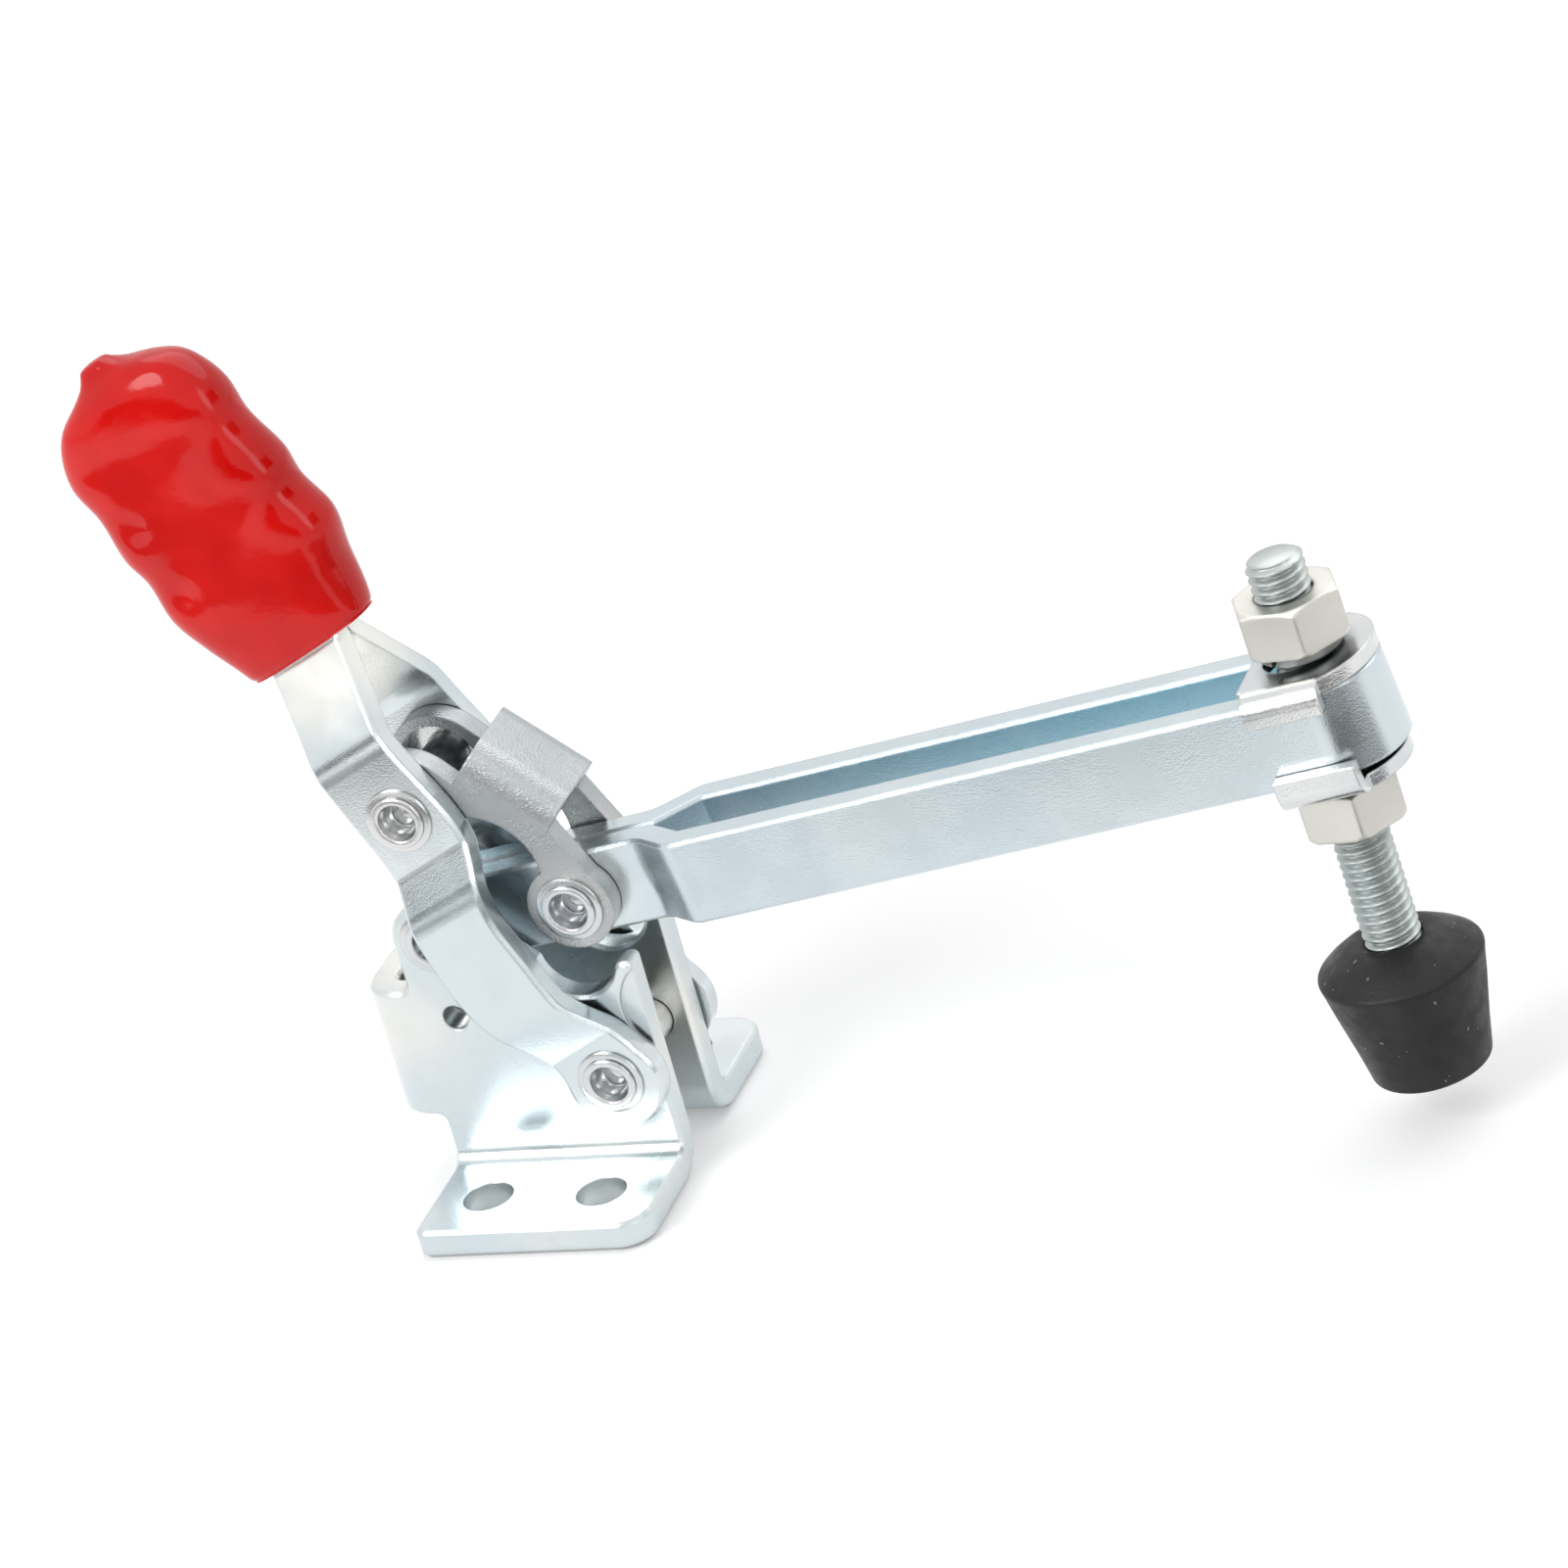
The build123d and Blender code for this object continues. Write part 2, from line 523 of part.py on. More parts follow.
# ---- rivets: factory head at the back, bored end flared over a ring in front ----
rivets = {"handle_link": (at_a, slim_r, hold_in + plate, ring_tall, lip_tall),
          "link_arm": (at_b, rivet_r, link_half, ring_tall, lip_tall),
          "handle_base": (at_c, rivet_r, eye_in + plate, ring_tall, lip_tall),
          "arm_base": (at_d, rivet_r, base_half, low_ring_tall, low_lip_tall)}
for joint, (rivet_at, shank, half, ring_high, lip_high) in rivets.items():
    lip_from = -half - ring_high
    end = lip_from - lip_high
    with BuildPart() as rivet:
        with BuildSketch(Plane(origin=rivet_at, x_dir=(1, 0, 0), z_dir=(0, 0, 1))) as turned:
            with BuildLine():
                Polyline((0, half), (shank, half), (shank, lip_from), (lip_r, lip_from), (lip_r, end),
                         (mouth_r, end), (bore_r, -half), (bore_r, bore_deep - half),
                         (0, bore_deep - half), (0, half))
            make_face()
            with Locations((0, half)):
                Rectangle(head_r, ring_high + lip_high, align=(Align.MIN, Align.MIN))
            head_edge = turned.vertices().group_by(Axis.X)[-1].sort_by(Axis.Y)[-1]
            chamfer(head_edge, head_bevel * (ring_high + lip_high))
        revolve(axis=Axis(rivet_at, (0, 1, 0)))
    rivet.part.label = f"rivet_{joint}"
    export_step(rivet.part, f"parts/rivet_{joint}.step")
    with BuildPart() as ring:
        with BuildSketch(Plane(origin=rivet_at, x_dir=(1, 0, 0), z_dir=(0, -1, 0)).offset(half)):
            Circle(ring_r)
            Circle(shank, mode=Mode.SUBTRACT)
        extrude(amount=ring_high)
    ring.part.label = f"ring_{joint}"
    export_step(ring.part, f"parts/ring_{joint}.step")
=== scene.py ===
import math

import bmesh
import bpy
from mathutils import Matrix, Vector


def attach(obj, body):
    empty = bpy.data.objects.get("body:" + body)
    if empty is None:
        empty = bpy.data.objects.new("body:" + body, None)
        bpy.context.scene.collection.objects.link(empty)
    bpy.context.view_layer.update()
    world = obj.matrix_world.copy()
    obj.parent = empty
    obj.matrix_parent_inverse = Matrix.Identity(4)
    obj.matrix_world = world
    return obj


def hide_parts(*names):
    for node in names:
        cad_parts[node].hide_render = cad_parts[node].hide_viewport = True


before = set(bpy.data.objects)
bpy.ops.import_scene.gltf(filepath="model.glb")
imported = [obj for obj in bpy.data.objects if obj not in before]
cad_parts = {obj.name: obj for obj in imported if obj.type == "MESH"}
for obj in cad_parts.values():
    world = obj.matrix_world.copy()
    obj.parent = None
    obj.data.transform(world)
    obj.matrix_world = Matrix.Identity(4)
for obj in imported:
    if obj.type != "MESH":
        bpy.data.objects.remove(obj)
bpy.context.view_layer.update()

MM = 0.001

# ---- places on the object, in millimetres, row frame ----
ARM_TILT = math.radians(9.2)
HANDLE_TILT = math.radians(115.4)
SPINDLE_TILT = math.radians(9.2 - 4.8)
PIVOT_C = Vector((8.8, 0, 13.55))
PIVOT_D = Vector((-8.0, 0, 29.8))
BASE_REAR = (-14, 0, 20)
ACROSS = Vector((0, 1, 0))
ALONG_ARM = Vector((math.cos(ARM_TILT), 0, math.sin(ARM_TILT)))
ALONG_HANDLE = Vector((math.cos(HANDLE_TILT), 0, math.sin(HANDLE_TILT)))
HANDLE_FRONT = Vector((math.sin(HANDLE_TILT), 0, -math.cos(HANDLE_TILT)))
PIVOT_A = PIVOT_C + ALONG_HANDLE * 35.3
PIVOT_B = PIVOT_D + ALONG_ARM * 16.5
HANDLE_NECK = PIVOT_C + ALONG_HANDLE * 50
SPINDLE_AT = PIVOT_D + ALONG_ARM * 99.6
SPINDLE_UP = Vector((-math.sin(SPINDLE_TILT), 0, math.cos(SPINDLE_TILT)))
SPINDLE_FRONT = Vector((math.cos(SPINDLE_TILT), 0, math.sin(SPINDLE_TILT)))
SPINDLE_SIDE = SPINDLE_UP.cross(SPINDLE_FRONT)
ARM_SLOT_HALF = 3.4


# ---- node helpers ----
def add(tree, kind, settings=None, inputs=None):
    """A new node; an input takes a value or another node's socket."""
    node = tree.nodes.new(kind)
    for key, value in (settings or {}).items():
        setattr(node, key, value)
    for key, value in (inputs or {}).items():
        if isinstance(value, bpy.types.NodeSocket):
            tree.links.new(value, node.inputs[key])
        else:
            node.inputs[key].default_value = value
    return node


def noise(tree, place, scale, detail=2.0, rough=0.5):
    inputs = {"Vector": place, "Scale": scale, "Detail": detail, "Roughness": rough}
    return add(tree, "ShaderNodeTexNoise", None, inputs).outputs["Fac"]


def spread(tree, value, low, high, to_low, to_high):
    """A value from low to high, eased to one from to_low to to_high."""
    settings = {"interpolation_type": "SMOOTHSTEP"}
    inputs = {"Value": value, "From Min": low, "From Max": high, "To Min": to_low, "To Max": to_high}
    return add(tree, "ShaderNodeMapRange", settings, inputs).outputs["Result"]


def math_of(tree, how, first, second=0.0):
    return add(tree, "ShaderNodeMath", {"operation": how}, {0: first, 1: second}).outputs[0]


def blend_colour(tree, share, first, second):
    settings = {"data_type": "RGBA", "blend_type": "MIX"}
    return add(tree, "ShaderNodeMix", settings, {0: share, 6: first, 7: second}).outputs[2]


def stretched(tree, place, scale):
    inputs = {"Vector": place, "Scale": scale}
    return add(tree, "ShaderNodeMapping", None, inputs).outputs["Vector"]


def near_points(tree, place, points, reach):
    """1 close to any of the points, falling to 0 at reach, in millimetres."""
    full_share = 0.35
    share = None
    for point in points:
        inputs = {0: place, 1: [axis * MM for axis in point]}
        gap = add(tree, "ShaderNodeVectorMath", {"operation": "DISTANCE"}, inputs).outputs["Value"]
        here = spread(tree, gap, reach * full_share * MM, reach * MM, 1.0, 0.0)
        share = here if share is None else math_of(tree, "MAXIMUM", share, here)
    return share


def bumped(tree, height, distance, normal=None):
    inputs = {"Height": height, "Strength": 1.0, "Distance": distance * MM}
    if normal:
        inputs["Normal"] = normal
    return add(tree, "ShaderNodeBump", None, inputs).outputs["Normal"]


def rgba(red, green, blue):
    return (red, green, blue, 1.0)


def grey(level):
    return rgba(level, level, level)


def new_material(name):
    material = bpy.data.materials.new(name)
    material.use_nodes = True
    tree = material.node_tree
    place = add(tree, "ShaderNodeTexCoord").outputs["Object"]
    return material, tree, tree.nodes["Principled BSDF"], place


def dress(tree, bsdf, colour, gloss, bump):
    tree.links.new(colour, bsdf.inputs["Base Color"])
    tree.links.new(gloss, bsdf.inputs["Roughness"])
    tree.links.new(bump, bsdf.inputs["Normal"])


# ---- materials: noise scales are per metre, reaches in millimetres ----
PATCH_SCALE, STAIN_SCALE, GLOSS_SCALE = 45, 330, 160
SPECK_SCALE, GRAIN_SCALE, ROLLED_SCALE = 3600, 5200, 900
WARM_REACH = 11.0
# painted shade: how far ambient occlusion looks for corners, and the dark colour painted into them
CORNER_SHADE_REACH = 2.2
CORNER_SHADE_COLOUR = rgba(0.10, 0.105, 0.11)
SPECK_COLOUR = rgba(0.92, 0.92, 0.9)
# painted reflection: the light blue given to the faces inside the arm's slot
SLOT_PAINTED_REFLECTION = rgba(0.59, 0.755, 0.82)


def slot_reflection_share(tree, place, half):
    """1 on the faces inside the arm's slot, where a blue reflection is painted, fading toward its two
    ends.
    """
    parts = add(tree, "ShaderNodeSeparateXYZ", None, {0: place}).outputs
    from_middle = math_of(tree, "ABSOLUTE", parts["Y"])
    inside = spread(tree, from_middle, (half + 0.02) * MM, (half + 0.12) * MM, 1.0, 0.0)
    toward_front = spread(tree, parts["X"], 15 * MM, 80 * MM, 0.15, 1.0)
    before_nose = spread(tree, parts["X"], 86 * MM, 92 * MM, 1.0, 0.0)
    return math_of(tree, "MULTIPLY", inside, math_of(tree, "MULTIPLY", toward_front, before_nose))


def metal(name, cool, warm, rough, grain, specks=0.0, warm_at=(), along=(1, 1, 1), round_edge=0.35,
          corner_shade=0.62, slot_reflection_half=None):
    """Zinc or nickel plating: tint patches, fine grain, rolling marks, worn specks and soft edges.

    warm_at: places of the warm tint. along: stretches the rolling marks. round_edge: radius of
    the soft edges. corner_shade: strength of the painted shade in corners. slot_reflection_half: half
    the width of a slot whose inner faces get a painted blue reflection.
    """
    material, tree, bsdf, place = new_material(name)
    patches = spread(tree, noise(tree, place, PATCH_SCALE), 0.38, 0.66, 0.0, 0.8)
    if warm_at:
        patches = math_of(tree, "MAXIMUM", math_of(tree, "MULTIPLY", patches, 0.45),
                          near_points(tree, place, warm_at, WARM_REACH))
    colour = blend_colour(tree, patches, rgba(*cool), rgba(*warm))
    stains = spread(tree, noise(tree, place, STAIN_SCALE, 4.0, 0.6), 0.52, 0.75, 0.0, 0.10)
    colour = blend_colour(tree, stains, colour, rgba(*[level * 0.72 for level in cool]))
    # painted reflection: light blue on the faces inside the slot, stronger toward the front
    if slot_reflection_half:
        colour = blend_colour(tree, slot_reflection_share(tree, place, slot_reflection_half), colour, SLOT_PAINTED_REFLECTION)
    # painted shade: the colour is darkened toward corners and creases, found by ambient occlusion
    corner_occlusion = add(tree, "ShaderNodeAmbientOcclusion", {"samples": 8}, {"Distance": CORNER_SHADE_REACH * MM})
    shade = spread(tree, corner_occlusion.outputs["AO"], 0.15, 0.85, corner_shade, 0.0)
    colour = blend_colour(tree, shade, colour, CORNER_SHADE_COLOUR)

    gloss = spread(tree, noise(tree, place, GLOSS_SCALE), 0.35, 0.7, rough[0], rough[1])
    if specks:
        spots = spread(tree, noise(tree, place, SPECK_SCALE, 1.0), 0.74, 0.78, 0.0, specks)
        colour = blend_colour(tree, spots, colour, SPECK_COLOUR)
        gloss = math_of(tree, "ADD", gloss, math_of(tree, "MULTIPLY", spots, 0.25))

    fine = noise(tree, place, GRAIN_SCALE)
    rolled = noise(tree, stretched(tree, place, along), ROLLED_SCALE, 3.0, 0.6)
    height = math_of(tree, "ADD", math_of(tree, "MULTIPLY", fine, 0.5),
                     math_of(tree, "MULTIPLY", rolled, 0.25))
    soft = add(tree, "ShaderNodeBevel", {"samples": 4}, {"Radius": round_edge * MM}).outputs["Normal"]
    bsdf.inputs["Metallic"].default_value = 1.0
    dress(tree, bsdf, colour, gloss, bumped(tree, height, grain, soft))
    return material


def vinyl(name):
    material, tree, bsdf, place = new_material(name)
    cloud = spread(tree, noise(tree, place, 120), 0.35, 0.7, 0.0, 1.0)
    colour = blend_colour(tree, cloud, rgba(0.58, 0.003, 0.002), rgba(0.68, 0.006, 0.004))
    gloss = spread(tree, noise(tree, place, 400, 3.0), 0.3, 0.7, 0.09, 0.14)
    waves = noise(tree, place, 210, 1.0)
    peel = noise(tree, place, 1400)
    height = math_of(tree, "ADD", waves, math_of(tree, "MULTIPLY", peel, 0.12))
    bsdf.inputs["Specular IOR Level"].default_value = 0.32
    dress(tree, bsdf, colour, gloss, bumped(tree, height, 0.11))
    return material


def rubber(name):
    material, tree, bsdf, place = new_material(name)
    bloom = spread(tree, noise(tree, place, 180, 4.0, 0.6), 0.4, 0.75, 0.0, 1.0)
    colour = blend_colour(tree, bloom, rgba(0.008, 0.0076, 0.0084), rgba(0.017, 0.016, 0.018))
    dust = spread(tree, noise(tree, place, 1700, 0.0), 0.815, 0.83, 0.0, 0.35)
    colour = blend_colour(tree, dust, colour, grey(0.45))
    gloss = spread(tree, noise(tree, place, 500, 3.0), 0.3, 0.7, 0.42, 0.58)
    height = noise(tree, place, 2600, 3.0, 0.6)
    bsdf.inputs["Specular IOR Level"].default_value = 0.38
    dress(tree, bsdf, colour, gloss, bumped(tree, height, 0.05))
    return material


COOL = (0.62, 0.69, 0.72)
base_zinc = metal("zinc_base", COOL, (0.80, 0.79, 0.745), rough=(0.22, 0.32), grain=0.03,
                  specks=0.12, warm_at=(PIVOT_C, BASE_REAR), along=(1, 1, 4))
arm_zinc = metal("zinc_arm", (0.58, 0.66, 0.70), (0.70, 0.72, 0.72), rough=(0.20, 0.30), grain=0.03,
                 specks=0.3, warm_at=(PIVOT_B,), along=(1, 6, 6), corner_shade=0.25, slot_reflection_half=ARM_SLOT_HALF)
handle_zinc = metal("zinc_handle", COOL, (0.90, 0.89, 0.845), rough=(0.14, 0.24), grain=0.025,
                    specks=0.15, warm_at=(PIVOT_A, PIVOT_C, HANDLE_NECK), along=(5, 5, 1))
# painted shade: the link's zinc is a darker copy of the other zinc, standing in for the dark
# reflections on the link
link_zinc_shaded = metal("zinc_link_shaded", (0.42, 0.45, 0.47), (0.58, 0.58, 0.56), rough=(0.24, 0.36),
                  grain=0.16, specks=0.2, warm_at=(PIVOT_B,))
washer_zinc = metal("zinc_washers", (0.60, 0.64, 0.67), (0.76, 0.76, 0.74), rough=(0.14, 0.24),
                    grain=0.05, specks=0.15)
nut_metal = metal("nickel_nuts", (0.66, 0.65, 0.61), (0.78, 0.76, 0.71), rough=(0.34, 0.46),
                  grain=0.03, round_edge=0.5)
rivet_metal = metal("zinc_rivets", (0.60, 0.62, 0.64), (0.74, 0.74, 0.72), rough=(0.16, 0.26),
                    grain=0.02, specks=0.1, round_edge=0.2, corner_shade=0.5)
thread_metal = metal("zinc_thread", (0.43, 0.48, 0.475), (0.55, 0.58, 0.56), rough=(0.34, 0.46),
                     grain=0.03, round_edge=0.08, corner_shade=0.3)
spring_metal = metal("dark_spring_steel", (0.24, 0.26, 0.26), (0.34, 0.35, 0.33),
                     rough=(0.3, 0.42), grain=0.04, specks=0.1)
red_vinyl = vinyl("red_vinyl")
black_rubber = rubber("black_rubber")


# ---- mesh helpers ----
def finish_mesh(name, bm, material, body, replaced, smooth_angle):
    bmesh.ops.recalc_face_normals(bm, faces=bm.faces)
    mesh = bpy.data.meshes.new(name)
    bm.to_mesh(mesh)
    bm.free()
    for face in mesh.polygons:
        face.use_smooth = True
    mesh.set_sharp_from_angle(angle=math.radians(smooth_angle))
    mesh.materials.append(material)
    piece = bpy.data.objects.new(name, mesh)
    bpy.context.scene.collection.objects.link(piece)
    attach(piece, body)
    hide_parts(*replaced)


def rings_to_mesh(rings, closed=True):
    """A skin over rings that have the same number of points, with a face over each end if closed."""
    bm = bmesh.new()
    rows = [[bm.verts.new(point * MM) for point in ring] for ring in rings]
    count = len(rows[0])
    for row, after in zip(rows, rows[1:]):
        for k in range(count):
            m = (k + 1) % count
            bm.faces.new((row[k], row[m], after[m], after[k]))
    if closed:
        bm.faces.new(rows[0][::-1])
        bm.faces.new(rows[-1])
    return bm


def turned(profile, centre, axis, side, segments):
    """Rings of a turned piece: profile is (radius, height along axis)."""
    other = axis.cross(side)
    angles = [2 * math.pi * k / segments for k in range(segments)]
    rounds = [side * math.cos(a) + other * math.sin(a) for a in angles]
    return [[centre + axis * high + out * radius for out in rounds] for radius, high in profile]


def arc(centre, radius, start, stop, steps):
    """Points of an arc, degrees, for a turned profile."""
    turns = [math.radians(start + (stop - start) * k / steps) for k in range(steps + 1)]
    return [(centre[0] + radius * math.cos(t), centre[1] + radius * math.sin(t)) for t in turns]


# ---- rivets and their rings ----
# centre, shank radius, half of the length between the heads, ring height, lip height, body
RIVETS = {
    "handle_link": (PIVOT_A, 2.4, 8.5, 0.35, 0.45, "handle"),
    "link_arm": (PIVOT_B, 2.5, 5.9, 0.35, 0.45, "link"),
    "handle_base": (PIVOT_C, 2.5, 9.2, 0.35, 0.45, "handle"),
    "arm_base": (PIVOT_D, 2.5, 6.6, 0.15, 0.30, "base"),
}
TINY = 0.02                       # a turned profile starts this far from its axis
RIVET_POINTS = 56
RING_RADIUS = 3.6
RING_EDGE, RING_EDGE_SHARE = 0.12, 0.45
LIP_OUTER, LIP_INNER = 2.9, 2.1
# the closed head: radius, share of the head's height
HEAD_ROWS = [(TINY, 1.0), (1.6, 1.0), (2.6, 0.9), (3.15, 0.62), (3.45, 0.2), (3.5, 0.0)]
# the hollow in the rolled end: radius, height from the plate's face
HOLLOW_ROWS = [(1.86, 0.1), (1.75, -0.5), (1.70, -1.3), (1.45, -1.6), (0.8, -1.42), (TINY, -1.3)]
for joint, (centre, shank, half, ring_high, lip_high, body) in RIVETS.items():
    lip = lip_high / 2
    seat = half + ring_high
    profile = [(radius, -half - (ring_high + lip_high) * share) for radius, share in HEAD_ROWS]
    profile += [(shank, -half), (shank, seat)]
    profile += arc((LIP_OUTER - lip, seat + lip), lip, -80, 90, 7)
    profile += arc((LIP_INNER + lip * 0.9, seat + lip), lip, 90, 175, 5)
    profile += [(radius, half + high) for radius, high in HOLLOW_ROWS]
    rings = turned(profile, centre, -ACROSS, Vector((1, 0, 0)), RIVET_POINTS)
    finish_mesh(f"rivet_{joint}_turned", rings_to_mesh(rings), rivet_metal, body,
                [f"rivet_{joint}"], 55)

    edge = min(RING_EDGE, ring_high * RING_EDGE_SHARE)
    foot = half + 0.002
    rim = [(shank, foot), (RING_RADIUS, foot), (RING_RADIUS, seat - edge)]
    rim += [(RING_RADIUS - edge * 0.3, seat - edge * 0.3), (RING_RADIUS - edge, seat), (shank, seat)]
    rings = turned(rim, centre, -ACROSS, Vector((1, 0, 0)), RIVET_POINTS)
    bm = rings_to_mesh(rings + [rings[0]], closed=False)
    bmesh.ops.remove_doubles(bm, verts=bm.verts, dist=1e-7)
    finish_mesh(f"ring_{joint}_turned", bm, rivet_metal, body, [f"ring_{joint}"], 40)

# ---- threaded spindle ----
THREAD_TOP, THREAD_LOW = 17.0, -37.0
CREST, ROOT = 2.95, 2.42
PITCH = 1.0
CREST_FLAT, FLANK = 0.07, 0.36    # half of the crest's flat, and the flank, in pitches
END_DROP, END_SLOPE = 0.1, 1.6    # the chamfer at each end
TURN_STEPS = 48
PITCH_STEPS = 10


def thread_radius(height, angle):
    phase = (height / PITCH - angle / (2 * math.pi)) % 1.0
    ramp = min(max((abs(phase - 0.5) - CREST_FLAT) / FLANK, 0.0), 1.0)
    radius = CREST - (CREST - ROOT) * ramp
    from_end = min(THREAD_TOP - height, height - THREAD_LOW)
    return min(radius, ROOT - END_DROP + from_end * END_SLOPE)


def round_spindle(angle):
    return SPINDLE_FRONT * math.cos(angle) + SPINDLE_SIDE * math.sin(angle)


rings = []
rows = int((THREAD_TOP - THREAD_LOW) / PITCH * PITCH_STEPS)
turns = [2 * math.pi * k / TURN_STEPS for k in range(TURN_STEPS)]
for row in range(rows + 1):
    height = THREAD_LOW + (THREAD_TOP - THREAD_LOW) * row / rows
    middle = SPINDLE_AT + SPINDLE_UP * height
    rings.append([middle + round_spindle(a) * thread_radius(height, a) for a in turns])
finish_mesh("spindle_threaded", rings_to_mesh(rings), thread_metal, "spindle",
            ["spindle"], 40)

# ---- split lock washer, its ends a little apart ----
LOCK_STEPS = 60
LOCK_START, LOCK_SWEEP = -108, 350
LOCK_LOW, LOCK_RISE = 6.84, 0.12
# its section: radius, height
LOCK_SECTION = [(3.12, 0), (4.15, 0), (4.25, 0.1), (4.25, 0.98), (4.15, 1.08), (3.12, 1.08)]
rings = []
for step in range(LOCK_STEPS + 1):
    out = round_spindle(math.radians(LOCK_START + LOCK_SWEEP * step / LOCK_STEPS))
    lift = LOCK_LOW + LOCK_RISE * step / LOCK_STEPS
    rings.append([SPINDLE_AT + out * radius + SPINDLE_UP * (lift + high)
                  for radius, high in LOCK_SECTION])
finish_mesh("lock_washer_split", rings_to_mesh(rings), spring_metal, "carriage",
            ["lock_washer"], 30)

# ---- rubber tip: bore, neck and sloping top, rounded shoulder, cone, rounded foot ----
profile = [(TINY, -37.0), (2.95, -37.0), (2.97, -30.0), (3.0, -25.95)]
profile += [(3.15, -25.82), (4.6, -25.85), (6.2, -26.75), (7.7, -27.75)]
profile += arc((7.95, -28.75), 0.6, 62, -12, 6)
profile += [(8.36, -29.6), (7.9, -32.0), (6.9, -36.6)]
profile += arc((5.55, -40.0), 0.7, -8, -90, 6)
profile += [(3.0, -40.68), (TINY, -40.66)]
rings = turned(profile, SPINDLE_AT, SPINDLE_UP, SPINDLE_FRONT, 72)
finish_mesh("rubber_tip_moulded", rings_to_mesh(rings), black_rubber, "spindle",
            ["rubber_tip"], 50)

# ---- dipped grip ----
# height along the handle from C, rear edge, front edge, thickness
GRIP_ROWS = [(54.0, -8.3, 8.4, 6.8), (56.5, -8.9, 9.3, 8.0), (60.0, -10.0, 10.3, 9.1),
             (64.3, -11.0, 11.9, 9.9), (69.0, -10.3, 11.4, 9.7), (72.3, -10.7, 11.9, 9.9),
             (77.3, -9.9, 11.3, 9.5), (81.3, -10.1, 11.8, 9.6), (84.5, -8.8, 11.1, 8.7),
             (86.8, -6.6, 9.6, 7.4), (88.3, -3.4, 6.9, 5.4), (89.1, -1.9, 4.6, 4.0),
             (89.9, -1.1, 3.2, 3.1), (90.45, -0.7, 2.6, 2.5)]
POCKET_ROWS = [(56.0, -5.1, 4.3, 4.8), (54.1, -5.1, 4.3, 4.8)]
MOUTH_ROW = (54.03, -8.2, 8.3, 6.5)
NIPPLE_ROWS = [(90.63, -0.2, 2.1, 1.8), (90.73, 0.7, 1.2, 0.5)]
GRIP_START, GRIP_END = 54.15, 90.45
GRIP_STEPS = 80
GRIP_POINTS = 72
MOUTH_ROUND = 0.5                 # height of the rounding at the mouth
BOXY, POCKET_BOXY = 0.22, 0.4     # how far a section is from an ellipse
# height, place across, reach, depth
DIMPLES = [(74.6, -5.2, 2.3, 0.45), (66.1, -5.8, 2.3, 0.45)]


def smooth_row(s):
    """The grip's edges and thickness at s, by a cubic through the rows."""
    last = len(GRIP_ROWS) - 1
    k = max(i for i in range(last) if GRIP_ROWS[i][0] <= s or i == 0)
    p = [GRIP_ROWS[min(max(i, 0), last)] for i in (k - 1, k, k + 1, k + 2)]
    span = p[2][0] - p[1][0]
    t = (s - p[1][0]) / span
    values = []
    for axis in (1, 2, 3):
        before = (p[2][axis] - p[0][axis]) / (p[2][0] - p[0][0]) * span
        after = (p[3][axis] - p[1][axis]) / (p[3][0] - p[1][0]) * span
        values.append((2 * t**3 - 3 * t**2 + 1) * p[1][axis] + (t**3 - 2 * t**2 + t) * before
                      + (3 * t**2 - 2 * t**3) * p[2][axis] + (t**3 - t**2) * after)
    return values


def grip_ring(s, rear, front, thick, dent=False, boxy=BOXY):
    middle, half = (rear + front) / 2, (front - rear) / 2
    ring = []
    for k in range(GRIP_POINTS):
        a = 2 * math.pi * k / GRIP_POINTS
        c, d = math.cos(a), math.sin(a)
        t = middle + half * c * (1 + boxy * d * d)
        y = thick / 2 * d * (1 + boxy * c * c)
        if dent:
            for at_s, at_t, reach, deep in DIMPLES:
                gap = ((s - at_s) ** 2 + (t - at_t) ** 2) / reach**2
                y -= math.copysign(deep * math.exp(-gap * 2), y) * min(abs(d) * 1.4, 1.0)
        ring.append(PIVOT_C + ALONG_HANDLE * s + HANDLE_FRONT * t + ACROSS * y)
    return ring


rings = [grip_ring(*row, boxy=POCKET_BOXY) for row in POCKET_ROWS]
rings.append(grip_ring(*MOUTH_ROW))
for step in range(GRIP_STEPS + 1):
    s = GRIP_START + (GRIP_END - GRIP_START) * (step / GRIP_STEPS)
    rear, front, thick = smooth_row(s)
    tuck = max(0.0, MOUTH_ROUND - (s - GRIP_START)) * 0.5
    rings.append(grip_ring(s, rear + tuck, front - tuck, thick - 2 * tuck, dent=True))
rings += [grip_ring(*row) for row in NIPPLE_ROWS]
finish_mesh("grip_dipped", rings_to_mesh(rings), red_vinyl, "handle", ["grip"], 60)

# ---- CAD nodes that keep their shape ----
FINISHES = {
    "base": base_zinc, "arm": arm_zinc, "link": link_zinc_shaded,
    "handle_plate_near": handle_zinc, "handle_plate_far": handle_zinc,
    "upper_flange_washer": washer_zinc, "lower_flange_washer": washer_zinc,
    "upper_nut": nut_metal, "lower_nut": nut_metal,
}
for node, material in FINISHES.items():
    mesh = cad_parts[node].data
    for index in range(len(mesh.materials)):
        mesh.materials[index] = material

# ---- floor, world and lamps ----
FLOOR_SIZE, FLOOR_DROP = 4.0, 0.0002
FLOOR_GREY, FLOOR_GLOW = 0.86, 0.30
WORLD_LIGHT, WORLD_SHOWN = 0.42, 1.0
CENTRE = (0.03, 0, 0.05)


def shown_or_mirrored(tree):
    """1 for a ray from the camera, a reflection or a clear piece, 0 for any other light."""
    path = add(tree, "ShaderNodeLightPath")
    seen = math_of(tree, "MAXIMUM", path.outputs["Is Camera Ray"], path.outputs["Is Glossy Ray"])
    return math_of(tree, "MAXIMUM", seen, path.outputs["Is Transmission Ray"])


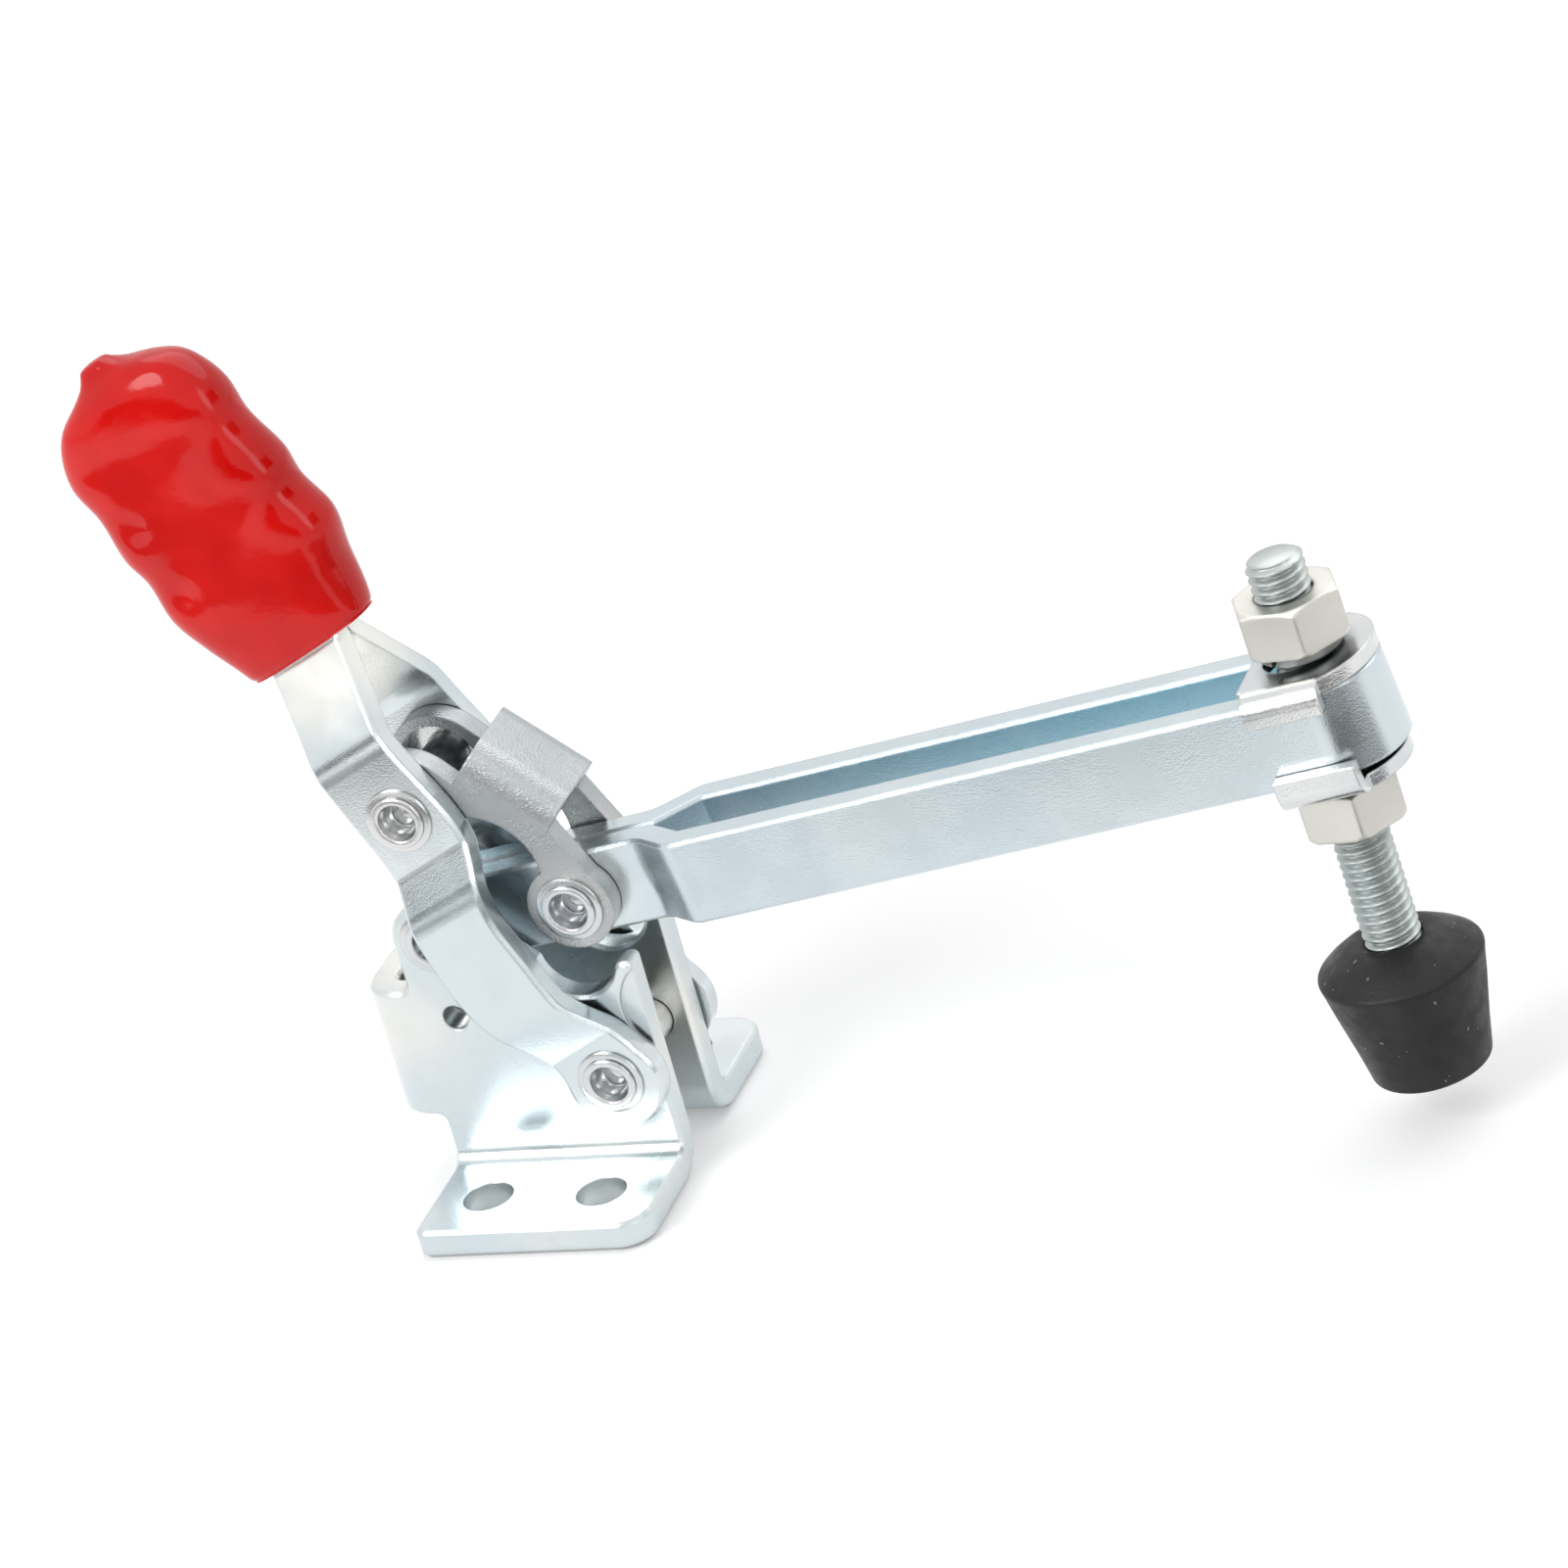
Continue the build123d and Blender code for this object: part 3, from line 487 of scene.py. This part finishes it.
def flat_panel(name, size, width=1.0, height=1.0):
    """A flat square of the stage, size each way from its middle, then scaled, and its nodes."""
    mesh = bpy.data.meshes.new(name)
    bm = bmesh.new()
    bmesh.ops.create_grid(bm, x_segments=1, y_segments=1, size=size)
    bmesh.ops.scale(bm, vec=(width, height, 1), verts=bm.verts)
    bm.to_mesh(mesh)
    bm.free()
    panel = bpy.data.objects.new(name, mesh)
    material = bpy.data.materials.new(name)
    material.use_nodes = True
    mesh.materials.append(material)
    bpy.context.scene.collection.objects.link(panel)
    return panel, material.node_tree


def aim(thing, place, target):
    thing.location = place
    thing.rotation_euler = (Vector(target) - Vector(place)).to_track_quat("-Z", "Y").to_euler()


floor, tree = flat_panel("floor", FLOOR_SIZE)
floor.location.z = -FLOOR_DROP
paper = tree.nodes["Principled BSDF"]
paper.inputs["Base Color"].default_value = grey(FLOOR_GREY)
paper.inputs["Roughness"].default_value = 0.9
glow_level = math_of(tree, "MULTIPLY", shown_or_mirrored(tree), FLOOR_GLOW)
glow = add(tree, "ShaderNodeEmission", None, {"Strength": glow_level})
both = add(tree, "ShaderNodeAddShader", None, {0: paper.outputs[0], 1: glow.outputs[0]})
tree.links.new(both.outputs[0], tree.nodes["Material Output"].inputs["Surface"])

world = bpy.data.worlds.new("studio")
bpy.context.scene.world = world
world.use_nodes = True
tree = world.node_tree
level = spread(tree, shown_or_mirrored(tree), 0.0, 1.0, WORLD_LIGHT, WORLD_SHOWN)
tree.links.new(level, tree.nodes["Background"].inputs["Strength"])
tree.nodes["Background"].inputs["Color"].default_value = grey(1.0)


def lamp(name, place, width, height, power):
    light = bpy.data.lights.new(name, "AREA")
    light.shape = "ELLIPSE"
    light.size, light.size_y = width, height
    light.energy = power
    thing = bpy.data.objects.new(name, light)
    aim(thing, place, CENTRE)
    bpy.context.scene.collection.objects.link(thing)


lamp("key_left", (-0.40, -0.70, 0.64), 0.60, 0.62, 5.4)
lamp("top_back", (0.15, 0.55, 0.95), 1.7, 1.0, 4.6)
lamp("fill_right", (0.9, -0.5, 0.45), 0.5, 0.6, 1.4)


def card(name, place, target, width, height, level):
    """A dark panel that only reflections see, so that bright metal has something to mirror."""
    panel, tree = flat_panel(name, 0.5, width, height)
    aim(panel, place, target)
    panel.visible_camera = False
    panel.visible_shadow = False
    panel.visible_diffuse = False
    tree.nodes["Principled BSDF"].inputs["Base Color"].default_value = grey(level)


card("card_front", (-0.15, -0.75, 0.12), CENTRE, 1.1, 0.16, 0.05)
card("card_right", (0.75, -0.05, 0.35), CENTRE, 0.5, 0.25, 0.05)
card("card_low", (-0.10, -0.18, 0.001), (-0.10, -0.18, 1.0), 0.30, 0.16, 0.12)
card("card_low_right", (0.20, -0.12, 0.001), (0.20, -0.12, 1.0), 0.2, 0.2, 0.06)

# ---- camera ----
AZIMUTH = math.radians(25.225)
ELEVATION = math.radians(25.40)
ROLL = math.radians(15.669)
TARGET = Vector((32.704, 0, 41.896)) * MM
DISTANCE = 0.5853
FOCAL_PIXELS = 5906.3
FRAME_PIXELS = 1601
SENSOR = 36.0
back = Vector((math.sin(AZIMUTH) * math.cos(ELEVATION), -math.cos(AZIMUTH) * math.cos(ELEVATION),
               math.sin(ELEVATION)))
right = Vector((math.cos(AZIMUTH), math.sin(AZIMUTH), 0))
up = back.cross(right)
rolled_right = right * math.cos(ROLL) - up * math.sin(ROLL)
rolled_up = right * math.sin(ROLL) + up * math.cos(ROLL)
camera_data = bpy.data.cameras.new("camera")
camera_data.sensor_width = SENSOR
camera_data.lens = FOCAL_PIXELS / FRAME_PIXELS * SENSOR
camera_data.clip_start = 0.01
camera_data.clip_end = 20.0
camera = bpy.data.objects.new("camera", camera_data)
turn = Matrix((rolled_right, rolled_up, back)).transposed()
camera.matrix_world = Matrix.Translation(TARGET + back * DISTANCE) @ turn.to_4x4()
bpy.context.scene.collection.objects.link(camera)
bpy.context.scene.camera = camera
bpy.context.scene.view_settings.view_transform = "Standard"

bpy.context.view_layer.update()
